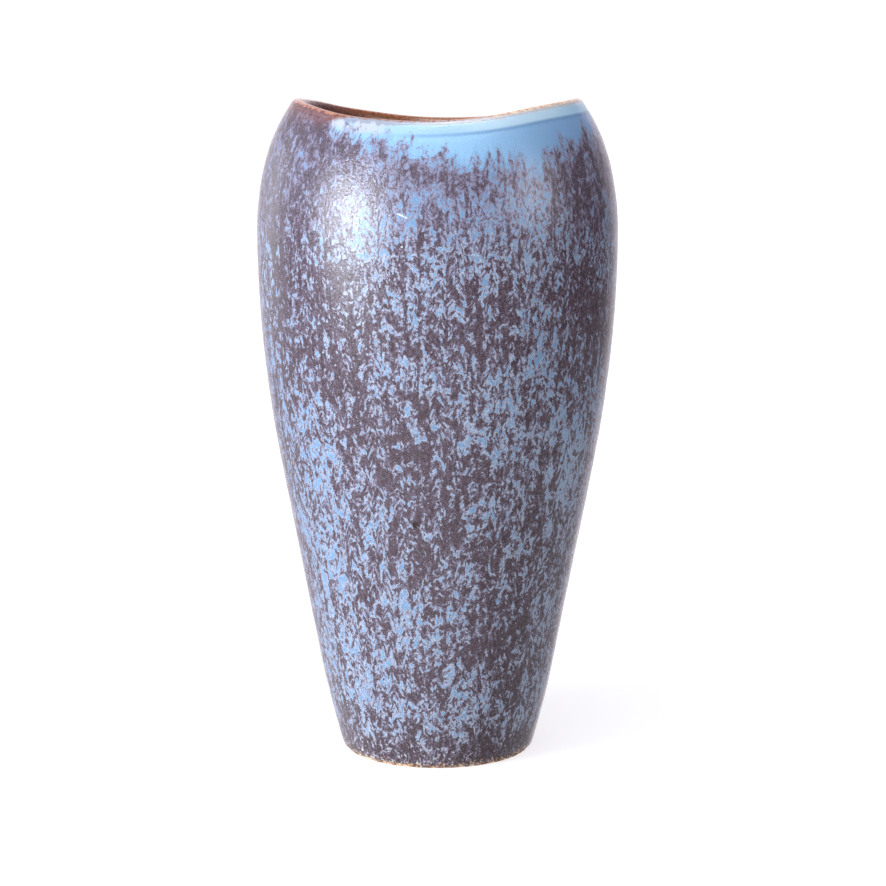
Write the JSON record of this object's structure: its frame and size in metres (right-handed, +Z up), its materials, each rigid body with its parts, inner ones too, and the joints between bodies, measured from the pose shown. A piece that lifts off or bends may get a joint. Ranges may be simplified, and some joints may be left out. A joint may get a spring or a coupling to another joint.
{
  "type": "stoneware vase",
  "caption": "Thrown stoneware vase with a narrow foot, a flaring wall, a high round shoulder and a wide mouth whose lip dips at front and back.",
  "frame": {"origin": "centre of the foot ring's underside, on the surface the vase stands on", "axes": "+Z up the vase's own axis. -Y is the front. The lip is highest at +X and -X, and dips at -Y and +Y."},
  "size_m": [0.1094, 0.1094, 0.2],
  "materials": {
    "bare_stoneware": "matte",
    "mottled_glaze": "satin",
    "iron_lip_glaze": "satin",
    "brown_liner_glaze": "satin",
    "dark_base_glaze": "satin"
  },
  "bodies": {
    "root": {"clay_body": "bare_stoneware", "outer_glaze": "mottled_glaze", "lip_glaze": "iron_lip_glaze", "liner_glaze": "brown_liner_glaze", "base_glaze": "dark_base_glaze"}
  },
  "joints": []
}
